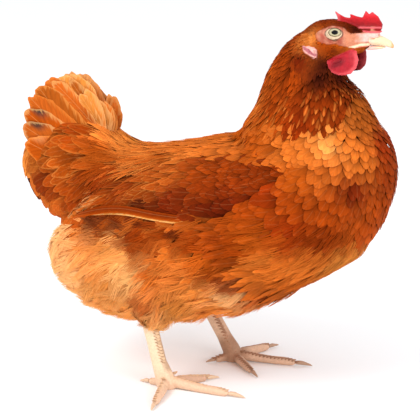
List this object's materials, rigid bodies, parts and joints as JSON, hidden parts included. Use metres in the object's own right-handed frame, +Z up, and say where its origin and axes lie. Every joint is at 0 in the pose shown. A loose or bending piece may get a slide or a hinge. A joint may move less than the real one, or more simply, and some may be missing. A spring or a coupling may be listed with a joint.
{
  "type": "hen",
  "caption": "Life-size still model of a brown laying hen standing at rest, with folded wings, a fanned tail, a single comb and scaly legs.",
  "frame": {"origin": "centre of the bounding box in plan, at the level of the soles", "axes": "+X from the tail to the bill, +Y to the hen's left, +Z up"},
  "size_m": [0.3746, 0.1998, 0.3528],
  "materials": {
    "hackle_plumage": "narrow chestnut feathers with a silky gleam",
    "body_plumage": "soft ginger-brown feathers, paler and fluffier below",
    "long_feathers": "smooth webbed feathers, chestnut on the wing and buff on the tail",
    "comb_skin": "red grained skin, slightly moist",
    "face_skin": "pink bare skin, softly wrinkled",
    "leg_scales": "cream and pink scales with brown edges",
    "horn": "cream horn, smooth and faintly streaked",
    "eye": "wet gloss over a buff iris and a black pupil"
  },
  "bodies": {
    "root": {"claw_hind_left": "horn", "claw_hind_right": "horn", "claw_inner_left": "horn", "claw_inner_right": "horn", "claw_middle_left": "horn", "claw_middle_right": "horn", "claw_outer_left": "horn", "claw_outer_right": "horn", "comb": "comb_skin", "earlobe_left": "face_skin", "earlobe_right": "face_skin", "eye_left": "eye", "eye_right": "eye", "head": "hackle_plumage", "lower_bill": "horn", "neck": "hackle_plumage", "shank_left": "leg_scales", "shank_right": "leg_scales", "tail_base": "body_plumage", "tail_fan_left": "long_feathers", "tail_fan_right": "long_feathers", "thigh_left": "body_plumage", "thigh_right": "body_plumage", "toe_hind_left": "leg_scales", "toe_hind_right": "leg_scales", "toe_inner_left": "leg_scales", "toe_inner_right": "leg_scales", "toe_middle_left": "leg_scales", "toe_middle_right": "leg_scales", "toe_outer_left": "leg_scales", "toe_outer_right": "leg_scales", "trunk": "body_plumage", "upper_bill": "horn", "wattle_left": "comb_skin", "wattle_right": "comb_skin", "wing_left": "long_feathers", "wing_right": "long_feathers"}
  },
  "joints": []
}
